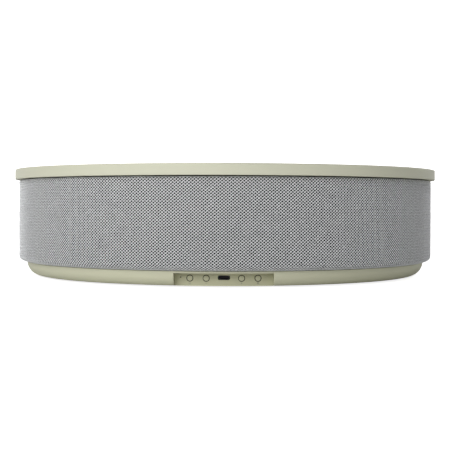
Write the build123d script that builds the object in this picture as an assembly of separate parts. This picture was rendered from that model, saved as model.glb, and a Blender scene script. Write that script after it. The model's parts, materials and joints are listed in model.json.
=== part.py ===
from build123d import *
import math
import os

# Round smart speaker. Millimetres, +Z up, origin at the centre of the foot ring's underside.
# The control recess faces -Y, so the listener's side is +Y.

# ---- Driving dimensions of the shell -------------------------------------------------------------
TOTAL_HEIGHT = 102.0
WALL = 2.5
LID_RADIUS = 205.0
LID_HEIGHT = 9.7
LID_RIM = 10.0
LID_SKIN = 3.2
LID_TOP_ROUND = 1.0
LID_BOTTOM_ROUND = 0.6
LID_RIBS = (70.0, 110.0, 175.0)
FOOT_HEIGHT = 1.5
FOOT_RADIUS = 152.0
FOOT_WIDTH = 12.0
FOOT_GROOVE = 1.0
BASE_ROUND = 12.7
BASE_RADIUS = 193.7
CLOTH_RADIUS = 201.3
CLOTH_THICKNESS = 1.2
CLOTH_CORNER_DEPTH = 9.0
CLOTH_CORNER_HEIGHT = 5.2
CLOTH_HEM = 5.0
SEAM_GAP = 0.2
SHADOW_GAP = 0.8
UPSTAND_INSET = 4.4
UPSTAND_WIDTH = 2.8
PLATE_THICKNESS = 3.0
PLATE_DROP = 1.4
WINDOW_COUNT = 24
WINDOW_WIDTH = 44.0
WINDOW_RIB = 6.0

# ---- Control recess, placed from the bottom of the base ------------------------------------------
RECESS_WIDTH = 82.0
RECESS_HEIGHT = 11.0
RECESS_WALL = 2.2
RECESS_FACE_RADIUS = 181.5
RECESS_ROUND = 0.7
PANEL_THICKNESS = 2.5
BUTTON_OFFSETS = {
    "power_button": -28.1,
    "volume_down_button": -14.6,
    "volume_up_button": 14.6,
    "pairing_button": 28.1,
}
BUTTON_HEIGHT = 6.4
BUTTON_RADIUS = 2.3
BUTTON_HOLE_RADIUS = 2.9
BUTTON_FLANGE_RADIUS = 3.2
BUTTON_PROUD = 0.2
BUTTON_TRAVEL = 0.5
PORT_HEIGHT = 6.9
PORT_WIDTH = 10.2
PORT_TALL = 3.8
PORT_CORNER = 1.5
LIGHT_OFFSET = -35.7
LIGHT_HEIGHT = 7.1
LIGHT_RADIUS = 0.5
PANEL_POCKET = 33.0
EAR_START = 34.0
EAR_END = 50.5
EAR_THICKNESS = 1.6
EAR_SETBACK = 3.6
PANEL_SCREW_OFFSET = 46.0
PANEL_SCREW_Z = 8.0
CONTROL_BOARD_Y = -171.5
CONTROL_BOARD_HALF = 43.0
SOCKET_FRONT = -180.6
SOCKET_WIDTH = 8.94
SOCKET_TALL = 3.16
SOCKET_WALL = 0.3
SWITCH_CASE = 1.1
SWITCH_PLUNGER = 0.4

# ---- Screws: where they stand and how large they are ---------------------------------------------
BASE_SCREW_RADIUS = 170.0
BASE_SCREW_ANGLES = [60.0 * i for i in range(6)]
BASE_SCREW_SINK = 3.0
BASE_SCREW_BITE = 7.0
LUG_RADIUS = 166.0
LUG_ANGLES = [90.0, 198.0, 342.0]
PLATE_SCREW_RADIUS = 191.0
PLATE_SCREW_ANGLES = [22.5 + 45.0 * i for i in range(8)]
LID_SCREW_RADIUS = 150.0
LID_SCREW_ANGLES = [60.0 * i for i in range(6)]
COVER_SCREW_RADIUS = 151.5
COVER_SCREW_ANGLES = [0, 18, 72, 90, 108, 162, 180, 198, 252, 270, 288, 342]
WOOFER_SCREW_ANGLES = [45.0 + 90.0 * i for i in range(4)]
CASE_SHANK = 1.05
CASE_PILOT = 1.15
CASE_HOLE = 1.6
CASE_BOSS = 3.4

# ---- Speaker enclosure and drivers ---------------------------------------------------------------
ENCLOSURE_RADIUS = 158.0
ENCLOSURE_FLAT = 150.0
ENCLOSURE_WALL = 3.0
ENCLOSURE_BOTTOM = 17.0
ENCLOSURE_TOP = 77.0
COVER_THICKNESS = 3.0
DISH_RADIUS = 93.0
DISH_RIM = 104.0
GLUE_GAP = 0.3
SIDE_DRIVER_ANGLES = {
    "front_right": 45.0,
    "front_left": 135.0,
    "rear_left": 225.0,
    "rear_right": 315.0,
}
WOOFER_RADIUS = 85.0
WOOFER_SEAT = 70.0
WOOFER_MOUTH = 79.0
WOOFER_MOTOR = 40.0
WOOFER_DEPTH = 24.0
WOOFER_FLANGE = 3.0
WOOFER_CONE = 62.0
WOOFER_NECK_DEPTH = 13.0
WOOFER_SCREW_INSET = 3.0
COIL_RADIUS = 19.0
COIL_WALL = 0.5
SPIDER_RADIUS = 48.6
SPIDER_DROP = 5.2
SPIDER_THICKNESS = 0.8
SPIDER_WAVES = (26.0, 33.0, 40.0)
SIDE_DRIVER_RADIUS = 29.0
SIDE_MOUTH = 26.5
SIDE_MOTOR = 14.0
SIDE_DEPTH = 14.0
SIDE_FLANGE = 2.0
SIDE_CONE = 20.0
SIDE_COIL = 7.0
SIDE_COIL_WALL = 0.4
SIDE_NECK_DEPTH = 8.0
SIDE_MOTOR_HEIGHT = 12.0

# ---- Electronics ---------------------------------------------------------------------------------
MICROPHONE_RADIUS = 30.0
MICROPHONE_COUNT = 4
GASKET_THICKNESS = 1.0
MICROPHONE_BOARD_THICKNESS = 1.0
BOARD_X = 75.0
BOARD_Y_LOW = 30.0
BOARD_Y_HIGH = 125.0
BOARD_LEVEL = 8.0
BOARD_THICKNESS = 1.6
BATTERY_X = 65.0
BATTERY_Y_LOW = -105.0
BATTERY_Y_HIGH = -15.0
BATTERY_HEIGHT = 9.0
STRAP_THICKNESS = 1.2
STRAP_REACH = 79.0

# ---- Levels and radii that follow ----------------------------------------------------------------
PAST = 1.0  # how far a cutting tool runs past the face that it cuts
Z_BASE = FOOT_HEIGHT
Z_FLOOR = Z_BASE + WALL
Z_BASE_TOP = Z_BASE + BASE_ROUND
Z_CLOTH = Z_BASE_TOP + SEAM_GAP
Z_UPSTAND = Z_CLOTH + CLOTH_THICKNESS
Z_LID = TOTAL_HEIGHT - LID_HEIGHT
Z_POCKET = TOTAL_HEIGHT - LID_SKIN
Z_CLOTH_TOP = Z_LID - SHADOW_GAP
Z_FRAME_TOP = Z_CLOTH_TOP - CLOTH_THICKNESS
Z_PLATE = Z_LID - PLATE_DROP
Z_PLATE_TOP = Z_PLATE + PLATE_THICKNESS
Z_RECESS_TOP = Z_BASE + RECESS_HEIGHT
Z_COVER = ENCLOSURE_TOP + 1.0
Z_COVER_TOP = Z_COVER + COVER_THICKNESS
Z_SIDE_DRIVER = (ENCLOSURE_BOTTOM + ENCLOSURE_TOP) / 2 + 0.5
Z_BOARD_TOP = BOARD_LEVEL + BOARD_THICKNESS
Z_MICROPHONE_BOARD = Z_POCKET - GASKET_THICKNESS
FRAME_RADIUS = CLOTH_RADIUS - CLOTH_THICKNESS
UPSTAND_OUTER = BASE_RADIUS - UPSTAND_INSET
UPSTAND_INNER = UPSTAND_OUTER - UPSTAND_WIDTH
RECESS_BACK = RECESS_FACE_RADIUS - PANEL_THICKNESS
EAR_FRONT = -(RECESS_BACK - EAR_SETBACK)
EAR_BACK = EAR_FRONT + EAR_THICKNESS
CONTROL_BOARD_FRONT = CONTROL_BOARD_Y - BOARD_THICKNESS


# ---- Small helpers -------------------------------------------------------------------------------
def block(x_low, x_high, y_low, y_high, z_low, z_high):
    """A box between two corners."""
    size = (x_high - x_low, y_high - y_low, z_high - z_low)
    middle = ((x_low + x_high) / 2, (y_low + y_high) / 2, (z_low + z_high) / 2)
    return Pos(*middle) * Box(*size)


def disc(radius, z_low, z_high, x=0.0, y=0.0):
    """An upright cylinder between two levels."""
    return Pos(x, y, (z_low + z_high) / 2) * Cylinder(radius, z_high - z_low)


def ring(outer, inner, z_low, z_high):
    """An upright tube between two levels."""
    return disc(outer, z_low, z_high) - disc(inner, z_low - PAST, z_high + PAST)


def rod(radius, x, z, y_low, y_high):
    """A cylinder that lies along Y between two places."""
    return Pos(x, (y_low + y_high) / 2, z) * Rot(90, 0, 0) * Cylinder(radius, y_high - y_low)


def turned(*edges):
    """A solid of revolution about Z from a closed outline in the (radius, z) plane."""
    return revolve(Plane.XZ * make_face(Wire(edges)), Axis.Z)


def turned_polygon(*points):
    """A solid of revolution about Z from the corners of a straight-sided outline."""
    return revolve(Plane.XZ * make_face(Polyline(*points, close=True)), Axis.Z)


def corner_arc(centre, depth, height):
    """The lower outer quarter of an ellipse about a centre in the (radius, z) plane."""
    return EllipticalCenterArc(centre, depth, height, start_angle=-90, arc_size=90)


def polar(radius, angle):
    """The point at this radius and angle in the floor plane."""
    turn = math.radians(angle)
    return radius * math.cos(turn), radius * math.sin(turn)


def around(shape, count, start=0.0):
    """Copies of a shape turned evenly about Z."""
    step = 360.0 / count
    return [Rot(0, 0, start + step * i) * shape for i in range(count)]


def group(shapes):
    """Separate solids that share one node."""
    return Compound(children=[solid for shape in shapes for solid in shape.solids()])


def screw(shank_radius, length, head_radius, head_height):
    """A cross-head screw pointing down: its head sits on z = 0 and its shank runs below."""
    head = disc(head_radius, 0, head_height)
    head = fillet(head.edges().group_by(Axis.Z)[-1], head_height * 0.45)
    slot_half = head_radius * 0.45
    slot_side = 0.3
    for turn in (0, 90):
        slot = block(-slot_half, slot_half, -slot_side, slot_side, head_height * 0.4, head_height)
        head -= Rot(0, 0, turn) * slot
    return head + disc(shank_radius, -length, 0)


# ---- Shell: base and foot ------------------------------------------------------------------------
def recess_cut(grow, back):
    """The open notch in the rear of the base, grown by a wall, from its curved back outwards."""
    half = RECESS_WIDTH / 2 + grow
    slab = block(-half, half, -BASE_RADIUS - PAST, -back / 2, Z_BASE - PAST, Z_RECESS_TOP + grow)
    return slab - disc(back, Z_BASE - 2 * PAST, Z_RECESS_TOP + grow + PAST)


def round_recess(shell):
    """Rounds the two side edges and the top edge where the recess breaks the outside of the base."""
    half = RECESS_WIDTH / 2
    sides = []
    tops = []
    for edge in shell.edges():
        middle = edge.center()
        size = edge.bounding_box().size
        if abs(abs(middle.X) - half) < 0.01 and size.Y > 1 and size.Z > RECESS_HEIGHT / 2:
            sides.append(edge)
        if abs(middle.X) < 0.01 and abs(middle.Z - Z_RECESS_TOP) < 0.01 and size.X > half:
            tops.append(edge)
    front = min(tops, key=lambda edge: edge.center().Y)
    return fillet([*sides, front], RECESS_ROUND)


def base_outer():
    """The outside of the base: flat underside, quarter-round edge, flat top."""
    low = BASE_RADIUS - BASE_ROUND
    bottom = Line((0, Z_BASE), (low, Z_BASE))
    edge = CenterArc((low, Z_BASE_TOP), BASE_ROUND, -90, 90)
    top = Line((BASE_RADIUS, Z_BASE_TOP), (0, Z_BASE_TOP))
    return turned(bottom, edge, top, Line((0, Z_BASE_TOP), (0, Z_BASE)))


def base_inner():
    """The hollow of the base tray, one wall inside its outer shape."""
    low = BASE_RADIUS - BASE_ROUND
    bend = BASE_ROUND - WALL
    roof = Z_BASE_TOP - WALL
    side = low + math.sqrt(bend**2 - WALL**2)
    reach = math.degrees(math.asin(WALL / bend))
    return turned(
        Line((0, Z_FLOOR), (low, Z_FLOOR)),
        CenterArc((low, Z_BASE_TOP), bend, -90, 90 - reach),
        Line((side, roof), (UPSTAND_INNER, roof)),
        Line((UPSTAND_INNER, roof), (UPSTAND_INNER, Z_BASE_TOP)),
        Line((UPSTAND_INNER, Z_BASE_TOP), (0, Z_BASE_TOP)),
        Line((0, Z_BASE_TOP), (0, Z_FLOOR)),
    )


def make_base_housing():
    """The tray: round edge, control recess, and bosses for everything that stands on it."""
    sunk = Z_FLOOR - 0.5
    outer = base_outer()
    shell = outer - base_inner()
    shell += ring(UPSTAND_OUTER, UPSTAND_INNER, Z_BASE_TOP, Z_UPSTAND)
    shell += recess_cut(RECESS_WALL, RECESS_BACK) & outer
    # blocks for the panel screws, beside the recess
    boss_half = 4.0
    boss_middle = PANEL_SCREW_OFFSET + 1.0
    boss_outer = -RECESS_FACE_RADIUS - boss_half
    for side in (-1, 1):
        boss = block(-boss_half, boss_half, boss_outer, EAR_FRONT, sunk, PANEL_SCREW_Z + boss_half)
        shell += (Pos(side * boss_middle, 0, 0) * boss) & outer
    # seats for the grille frame's tabs, the enclosure's lugs and the main board
    for angle in BASE_SCREW_ANGLES:
        shell += disc(5.0, sunk, Z_UPSTAND, *polar(BASE_SCREW_RADIUS, angle))
    for angle in LUG_ANGLES:
        shell += disc(4.0, sunk, ENCLOSURE_BOTTOM, *polar(LUG_RADIUS, angle))
    for x, y in board_corners():
        shell += disc(3.0, sunk, BOARD_LEVEL, x, y)
    shell = round_recess(shell - recess_cut(0, RECESS_BACK))
    # room for the panel's ears
    ear_room = EAR_END + 0.5
    shell -= block(-ear_room, ear_room, EAR_FRONT, EAR_BACK + 4.4, Z_FLOOR, Z_RECESS_TOP + 0.4)
    for side in (-1, 1):
        shell -= rod(0.8, side * PANEL_SCREW_OFFSET, PANEL_SCREW_Z, EAR_FRONT - 8.0, EAR_FRONT)
    for angle in BASE_SCREW_ANGLES:
        x, y = polar(BASE_SCREW_RADIUS, angle)
        shell -= disc(3.6, Z_BASE - PAST, Z_BASE + BASE_SCREW_SINK, x, y)
        shell -= disc(1.6, Z_BASE, Z_UPSTAND + PAST, x, y)
    for angle in LUG_ANGLES:
        shell -= disc(CASE_PILOT, Z_FLOOR + 2, ENCLOSURE_BOTTOM + PAST, *polar(LUG_RADIUS, angle))
    for x, y in board_corners():
        shell -= disc(1.0, Z_FLOOR, BOARD_LEVEL + PAST, x, y)
    shell -= ring(FOOT_RADIUS, FOOT_RADIUS - FOOT_WIDTH, Z_BASE - PAST, Z_BASE + FOOT_GROOVE)
    return shell


def make_foot_ring():
    """The rubber ring that sits in a groove of the base and touches the table."""
    fit = 0.1
    foot = ring(FOOT_RADIUS - fit, FOOT_RADIUS - FOOT_WIDTH + fit, 0, Z_BASE + FOOT_GROOVE)
    return fillet(foot.edges().group_by(Axis.Z)[0], 0.6)


def make_base_screws():
    """Screws driven from below, through the base into the grille frame's tabs."""
    head_level = Z_BASE + BASE_SCREW_SINK
    one = Rot(180, 0, 0) * screw(1.4, Z_UPSTAND + BASE_SCREW_BITE - head_level, 3.2, 2.0)
    return group([Pos(*polar(BASE_SCREW_RADIUS, angle), head_level) * one for angle in BASE_SCREW_ANGLES])


# ---- Shell: cloth and its frame ------------------------------------------------------------------
def make_grille_cloth():
    """Mesh cloth: an upright band, turned in at the top, rolled in and tucked under at the bottom."""
    inner = CLOTH_RADIUS - CLOTH_THICKNESS
    hem = CLOTH_RADIUS - CLOTH_HEM
    low = CLOTH_RADIUS - CLOTH_CORNER_DEPTH
    tuck = UPSTAND_OUTER + 0.5
    rise = Z_CLOTH + CLOTH_CORNER_HEIGHT
    lining = Z_CLOTH + CLOTH_THICKNESS
    return turned(
        Line((CLOTH_RADIUS, rise), (CLOTH_RADIUS, Z_CLOTH_TOP)),
        Line((CLOTH_RADIUS, Z_CLOTH_TOP), (hem, Z_CLOTH_TOP)),
        Line((hem, Z_CLOTH_TOP), (hem, Z_FRAME_TOP)),
        Line((hem, Z_FRAME_TOP), (inner, Z_FRAME_TOP)),
        Line((inner, Z_FRAME_TOP), (inner, rise)),
        corner_arc((low, rise), CLOTH_CORNER_DEPTH - CLOTH_THICKNESS, CLOTH_CORNER_HEIGHT - CLOTH_THICKNESS),
        Line((low, lining), (tuck, lining)),
        Line((tuck, lining), (tuck, Z_CLOTH)),
        Line((tuck, Z_CLOTH), (low, Z_CLOTH)),
        corner_arc((low, rise), CLOTH_CORNER_DEPTH, CLOTH_CORNER_HEIGHT),
    )


def frame_drum():
    """The bare drum under the cloth, with a flange at each end."""
    inner = FRAME_RADIUS - WALL
    depth = CLOTH_CORNER_DEPTH - CLOTH_THICKNESS
    height = CLOTH_CORNER_HEIGHT - CLOTH_THICKNESS
    low = FRAME_RADIUS - depth
    rise = Z_UPSTAND + height
    shelf = Z_UPSTAND + WALL
    ceiling = Z_FRAME_TOP - WALL
    return turned(
        Line((FRAME_RADIUS, rise), (FRAME_RADIUS, Z_FRAME_TOP)),
        Line((FRAME_RADIUS, Z_FRAME_TOP), (UPSTAND_INNER, Z_FRAME_TOP)),
        Line((UPSTAND_INNER, Z_FRAME_TOP), (UPSTAND_INNER, ceiling)),
        Line((UPSTAND_INNER, ceiling), (inner, ceiling)),
        Line((inner, ceiling), (inner, rise)),
        Line((inner, rise), (low, shelf)),
        Line((low, shelf), (UPSTAND_INNER, shelf)),
        Line((UPSTAND_INNER, shelf), (UPSTAND_INNER, Z_UPSTAND)),
        Line((UPSTAND_INNER, Z_UPSTAND), (low, Z_UPSTAND)),
        corner_arc((low, rise), depth, height),
    )


def make_grille_frame():
    """The drum with two rows of windows, tabs for the base screws and bosses for the plate."""
    drum = frame_drum()
    middle = (Z_UPSTAND + Z_FRAME_TOP) / 2
    rows = (
        (Z_UPSTAND + 8.0, middle - WINDOW_RIB / 2),
        (middle + WINDOW_RIB / 2, Z_FRAME_TOP - 7.0),
    )
    for low, high in rows:
        window = block(FRAME_RADIUS - 6, FRAME_RADIUS + 6, -WINDOW_WIDTH / 2, WINDOW_WIDTH / 2, low, high)
        window = fillet(window.edges().filter_by(Axis.X), 4.0)
        for cut in around(window, WINDOW_COUNT):
            drum -= cut
    tab_half = 8.0
    tab_end = UPSTAND_INNER + 1
    tab = block(BASE_SCREW_RADIUS - tab_half, tab_end, -tab_half, tab_half, Z_UPSTAND, Z_UPSTAND + WALL)
    tab = fillet(tab.edges().filter_by(Axis.Z).group_by(Axis.X)[0], 6.0)
    tab += disc(4.0, Z_UPSTAND, Z_UPSTAND + BASE_SCREW_BITE + 3.0, BASE_SCREW_RADIUS, 0)
    tab -= disc(1.45, Z_UPSTAND - PAST, Z_UPSTAND + BASE_SCREW_BITE + 1.5, BASE_SCREW_RADIUS, 0)
    for angle in BASE_SCREW_ANGLES:
        drum += Rot(0, 0, angle) * tab
    boss_bottom = Z_FRAME_TOP - 10.0
    boss = disc(CASE_BOSS, boss_bottom, Z_FRAME_TOP, PLATE_SCREW_RADIUS, 0)
    boss += block(PLATE_SCREW_RADIUS, FRAME_RADIUS - 1, -1, 1, boss_bottom, Z_FRAME_TOP - 1)
    for angle in PLATE_SCREW_ANGLES:
        drum += Rot(0, 0, angle) * boss
        pilot_bottom = Z_FRAME_TOP - 8.5
        drum -= disc(CASE_PILOT, pilot_bottom, Z_FRAME_TOP + PAST, *polar(PLATE_SCREW_RADIUS, angle))
    return drum


def make_cloth_clamp_ring():
    """The ring that traps the cloth's top hem on the grille frame."""
    clamp = ring(CLOTH_RADIUS - CLOTH_HEM - 0.2, UPSTAND_INNER + 1.0, Z_FRAME_TOP, Z_PLATE)
    for angle in PLATE_SCREW_ANGLES:
        clamp -= disc(CASE_BOSS + 0.2, Z_FRAME_TOP - PAST, Z_PLATE + PAST, *polar(PLATE_SCREW_RADIUS, angle))
    return clamp


# ---- Shell: lid and what hangs from it -----------------------------------------------------------
def make_lid_mounting_plate():
    """The stiff plate that closes the drum and carries the lid."""
    plate = disc(LID_RADIUS - LID_RIM - 0.5, Z_PLATE, Z_PLATE_TOP)
    for angle in PLATE_SCREW_ANGLES:
        x, y = polar(PLATE_SCREW_RADIUS, angle)
        plate += disc(CASE_BOSS, Z_FRAME_TOP, Z_PLATE, x, y)
        plate -= disc(CASE_HOLE, Z_FRAME_TOP - PAST, Z_PLATE_TOP + PAST, x, y)
    for angle in LID_SCREW_ANGLES:
        plate -= disc(CASE_HOLE, Z_PLATE - PAST, Z_PLATE_TOP + PAST, *polar(LID_SCREW_RADIUS, angle))
    vent = disc(9.0, Z_PLATE - PAST, Z_PLATE_TOP + PAST, 118.0, 0)
    for cut in around(vent, 8, 22.5):
        plate -= cut
    return plate - disc(2.1, Z_PLATE - PAST, Z_PLATE_TOP + PAST)


def microphone_places():
    step = 360.0 / MICROPHONE_COUNT
    return [polar(MICROPHONE_RADIUS, step / 2 + step * i) for i in range(MICROPHONE_COUNT)]


def make_top_lid():
    """The overhanging lid: a thick rim, a ribbed pocket underneath and bosses for its screws."""
    lid = disc(LID_RADIUS, Z_LID, TOTAL_HEIGHT)
    lid = fillet(lid.edges().group_by(Axis.Z)[-1], LID_TOP_ROUND)
    lid = fillet(lid.edges().group_by(Axis.Z)[0], LID_BOTTOM_ROUND)
    lid -= disc(LID_RADIUS - LID_RIM, Z_LID - PAST, Z_POCKET)
    for radius in LID_RIBS:
        lid += ring(radius, radius - 1.6, Z_POCKET - 2.0, Z_POCKET)
    for angle in LID_SCREW_ANGLES:
        x, y = polar(LID_SCREW_RADIUS, angle)
        lid += disc(4.0, Z_PLATE_TOP, Z_POCKET, x, y)
        lid -= disc(CASE_PILOT, Z_PLATE_TOP - PAST, Z_POCKET, x, y)
    for x, y in microphone_places():
        lid -= disc(0.7, Z_POCKET - PAST, TOTAL_HEIGHT + PAST, x, y)
    return lid


def make_lid_screws():
    """One kind of screw: up through the plate into the lid, and down through it into the frame."""
    one = screw(CASE_SHANK, 7.5, 2.6, 1.6)
    upward = [Pos(*polar(LID_SCREW_RADIUS, a), Z_PLATE) * Rot(180, 0, 0) * one for a in LID_SCREW_ANGLES]
    downward = [Pos(*polar(PLATE_SCREW_RADIUS, a), Z_PLATE_TOP) * one for a in PLATE_SCREW_ANGLES]
    return group(upward + downward)


def make_sound_deflector():
    """A shallow cone under the plate that spreads the woofer's sound outwards."""
    drop = 6.0
    cone = turned_polygon(
        (0, Z_PLATE),
        (60.0, Z_PLATE),
        (60.0, Z_PLATE - 0.8),
        (0, Z_PLATE - drop),
    )
    return cone - disc(1.2, Z_PLATE - drop + PAST, Z_PLATE + PAST) - disc(2.1, Z_PLATE - 0.5, Z_PLATE + PAST)


def make_microphone_board():
    """A ring-shaped board pressed against the microphone gaskets."""
    bottom = Z_MICROPHONE_BOARD - MICROPHONE_BOARD_THICKNESS
    board = ring(MICROPHONE_RADIUS + 6.0, 8.0, bottom, Z_MICROPHONE_BOARD)
    for x, y in microphone_places():
        board -= disc(0.5, bottom - PAST, Z_MICROPHONE_BOARD + PAST, x, y)
    return board


def make_microphones():
    """Small sealed capsules under the board, one behind each hole in the lid."""
    top = Z_MICROPHONE_BOARD - MICROPHONE_BOARD_THICKNESS
    return group([block(x - 2.0, x + 2.0, y - 1.5, y + 1.5, top - 1.1, top) for x, y in microphone_places()])


def make_microphone_gaskets():
    gasket = ring(3.0, 0.8, Z_MICROPHONE_BOARD, Z_POCKET)
    return group([Pos(x, y, 0) * gasket for x, y in microphone_places()])


# ---- Controls ------------------------------------------------------------------------------------
def make_control_panel():
    """The curved back of the recess, with an ear on each side for a screw."""
    half = RECESS_WIDTH / 2 - 0.1
    top = Z_RECESS_TOP - 0.1
    span = block(-half, half, -BASE_RADIUS, -RECESS_BACK / 2, Z_BASE, top)
    panel = ring(RECESS_FACE_RADIUS, RECESS_BACK, 0, TOTAL_HEIGHT) & span
    # a flat pocket behind the face for the button flanges and the socket
    panel -= block(-PANEL_POCKET, PANEL_POCKET, -RECESS_BACK + 1.4, -RECESS_BACK / 2, Z_FLOOR, TOTAL_HEIGHT)
    ear_bottom = Z_FLOOR + 0.3
    for side in (-1, 1):
        inner, outer = sorted((side * EAR_START, side * half))
        rib = block(inner, outer, -RECESS_BACK - 1, EAR_BACK, ear_bottom, top)
        panel += rib & disc(RECESS_BACK + 0.5, 0, TOTAL_HEIGHT)
        inner, outer = sorted((side * EAR_START, side * EAR_END))
        panel += block(inner, outer, EAR_FRONT, EAR_BACK, ear_bottom, top)
        panel -= rod(1.1, side * PANEL_SCREW_OFFSET, PANEL_SCREW_Z, EAR_FRONT - PAST, EAR_BACK + PAST)
    outside = -RECESS_FACE_RADIUS - PAST
    for x in BUTTON_OFFSETS.values():
        panel -= rod(BUTTON_HOLE_RADIUS, x, Z_BASE + BUTTON_HEIGHT, outside, EAR_BACK)
    outline = RectangleRounded(PORT_WIDTH, PORT_TALL, PORT_CORNER)
    slot = extrude(Plane.XZ * outline, outside - EAR_BACK)
    panel -= Pos(0, outside, Z_BASE + PORT_HEIGHT) * slot
    panel -= rod(LIGHT_RADIUS + 0.05, LIGHT_OFFSET, Z_BASE + LIGHT_HEIGHT, outside, EAR_BACK + PAST)
    return panel


def make_panel_screws():
    one = Rot(-90, 0, 0) * screw(0.75, 6.0, 1.9, 1.2)
    return group([Pos(side * PANEL_SCREW_OFFSET, EAR_BACK, PANEL_SCREW_Z) * one for side in (-1, 1)])


def make_button(x):
    """A round cap whose front follows the curve of the panel, with a flange that keeps it in."""
    level = Z_BASE + BUTTON_HEIGHT
    flange_front = -RECESS_BACK + 1.6
    stem_end = CONTROL_BOARD_FRONT - SWITCH_CASE - SWITCH_PLUNGER - BUTTON_TRAVEL - 0.1
    cap = rod(BUTTON_RADIUS, x, level, -BASE_RADIUS, flange_front + 0.4)
    cap = cap & disc(RECESS_FACE_RADIUS + BUTTON_PROUD, 0, TOTAL_HEIGHT)
    cap = fillet(cap.edges().group_by(Axis.Y)[0], 0.3)
    flange = rod(BUTTON_FLANGE_RADIUS, x, level, flange_front, flange_front + 0.8)
    return cap + flange + rod(1.0, x, level, flange_front, stem_end)


def make_status_light_pipe():
    """A clear rod from the face of the panel to just in front of the control board."""
    outer = -math.sqrt(RECESS_FACE_RADIUS**2 - LIGHT_OFFSET**2) + 0.1
    return rod(LIGHT_RADIUS, LIGHT_OFFSET, Z_BASE + LIGHT_HEIGHT, outer, CONTROL_BOARD_FRONT - 0.8)


def make_control_board():
    """The narrow board behind the panel that carries the switches and the socket."""
    half = CONTROL_BOARD_HALF
    return block(-half, half, CONTROL_BOARD_FRONT, CONTROL_BOARD_Y, Z_FLOOR + 0.4, Z_RECESS_TOP + 1.0)


def make_tact_switches():
    """Four small switches, each with a plunger just behind its button's stem."""
    level = Z_BASE + BUTTON_HEIGHT
    case_half = 2.2
    case_front = CONTROL_BOARD_FRONT - SWITCH_CASE
    switches = []
    for x in BUTTON_OFFSETS.values():
        left, right = x - case_half, x + case_half
        case = block(left, right, case_front, CONTROL_BOARD_FRONT, level - case_half, level + case_half)
        switches.append(case + rod(1.1, x, level, case_front - SWITCH_PLUNGER, case_front))
    return group(switches)


def make_usb_socket_shell():
    """The drawn metal shell of the charging socket, open at the front."""
    length = CONTROL_BOARD_FRONT - SOCKET_FRONT
    outer = extrude(Plane.XZ * SlotOverall(SOCKET_WIDTH, SOCKET_TALL), -length)
    hollow = SlotOverall(SOCKET_WIDTH - 2 * SOCKET_WALL, SOCKET_TALL - 2 * SOCKET_WALL)
    inner = Pos(0, -PAST, 0) * extrude(Plane.XZ * hollow, -(length - 1.0 + PAST))
    return Pos(0, SOCKET_FRONT, Z_BASE + PORT_HEIGHT) * (outer - inner)


def make_usb_socket_tongue():
    """The contact blade in the middle of the socket, on its moulded root."""
    level = Z_BASE + PORT_HEIGHT
    root_back = CONTROL_BOARD_FRONT - 1.0
    blade = block(-3.3, 3.3, SOCKET_FRONT + 1.4, root_back - 0.1, level - 0.35, level + 0.35)
    root = extrude(Plane.XZ * SlotOverall(8.2, 2.4), -1.5)
    return blade + Pos(0, root_back - 1.52, level) * root


# ---- Drivers -------------------------------------------------------------------------------------
def driver_frame(radius, mouth, motor_radius, depth, flange, windows, screw_circle):
    """A driver's basket: a flange on z = 0, sloping legs with windows, and a seat for the motor."""
    wall = 1.6
    throat = mouth - 2.5
    seat = motor_radius * 0.62
    floor = -depth + 1.5
    basket = turned_polygon(
        (radius, 0),
        (radius, flange),
        (throat, flange),
        (throat, 0.5),
        (motor_radius - 3.5, floor),
        (seat, floor),
        (seat, -depth),
        (motor_radius, -depth),
        (throat + wall, -1.0),
        (throat + wall, 0),
    )
    window = block(motor_radius + 1.0, radius, -seat / 2, seat / 2, floor + 1.0, -3.0)
    for cut in around(window, windows):
        basket -= cut
    for cut in around(disc(1.7, -PAST, flange + PAST, screw_circle, 0), 4, 45):
        basket -= cut
    return basket


def driver_surround(outer, inner, roll_height, thickness, level):
    """A half-round rubber roll between the cone and the flange."""
    middle = (outer + inner) / 2
    lip = 2.2
    top = level + thickness
    roll_inner = inner + lip
    roll_outer = outer - lip
    valley = (middle, top + roll_height - 2 * thickness)
    under = ThreePointArc((roll_inner, level), valley, (roll_outer, level))
    crown = (middle, top + roll_height)
    over = ThreePointArc((roll_outer + thickness, top), crown, (roll_inner - thickness, top))
    return turned(
        Line((inner, level), (roll_inner, level)),
        under,
        Line((roll_outer, level), (outer, level)),
        Line((outer, level), (outer, top)),
        Line((outer, top), (roll_outer + thickness, top)),
        over,
        Line((roll_inner - thickness, top), (inner, top)),
        Line((inner, top), (inner, level)),
    )


def driver_cone(outer, neck, depth, thickness, rim_level):
    """A paper cone from the surround down to the voice coil, with a flat rim."""
    bottom = rim_level - depth
    rim_bottom = rim_level - 0.2
    return turned_polygon(
        (neck, bottom),
        (neck + thickness * 1.6, bottom),
        (outer - 1.8, rim_bottom),
        (outer, rim_bottom),
        (outer, rim_level + thickness),
        (outer - 2.4, rim_level + thickness),
        (neck, bottom + thickness * 2.2),
    )


def cap_arc(radius, height, level):
    """A quarter outline of a spherical cap, from its edge to its crown on the axis."""
    ball = (radius**2 + height**2) / (2 * height)
    half = radius / 2
    half_level = level + height - ball + math.sqrt(ball**2 - half**2)
    return ThreePointArc((radius, level), (half, half_level), (0, level + height))


def dome(radius, height, thickness, level):
    """A dust cap: a thin spherical cap with its edge at the level given."""
    slim = radius - thickness
    return turned(
        Line((slim, level), (radius, level)),
        cap_arc(radius, height, level),
        Line((0, level + height), (0, level + height - thickness)),
        cap_arc(slim, height - thickness, level),
    )


def woofer_spider(level):
    """The corrugated centring disc, from the voice coil to the basket's ledge."""
    top = level + SPIDER_THICKNESS
    crest = top + 1.2
    spider = ring(SPIDER_RADIUS, COIL_RADIUS + COIL_WALL + GLUE_GAP, level, top)
    for radius in SPIDER_WAVES:
        spider += turned_polygon((radius, top), (radius + 3, top), (radius + 2, crest), (radius + 1, crest))
    return spider


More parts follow.
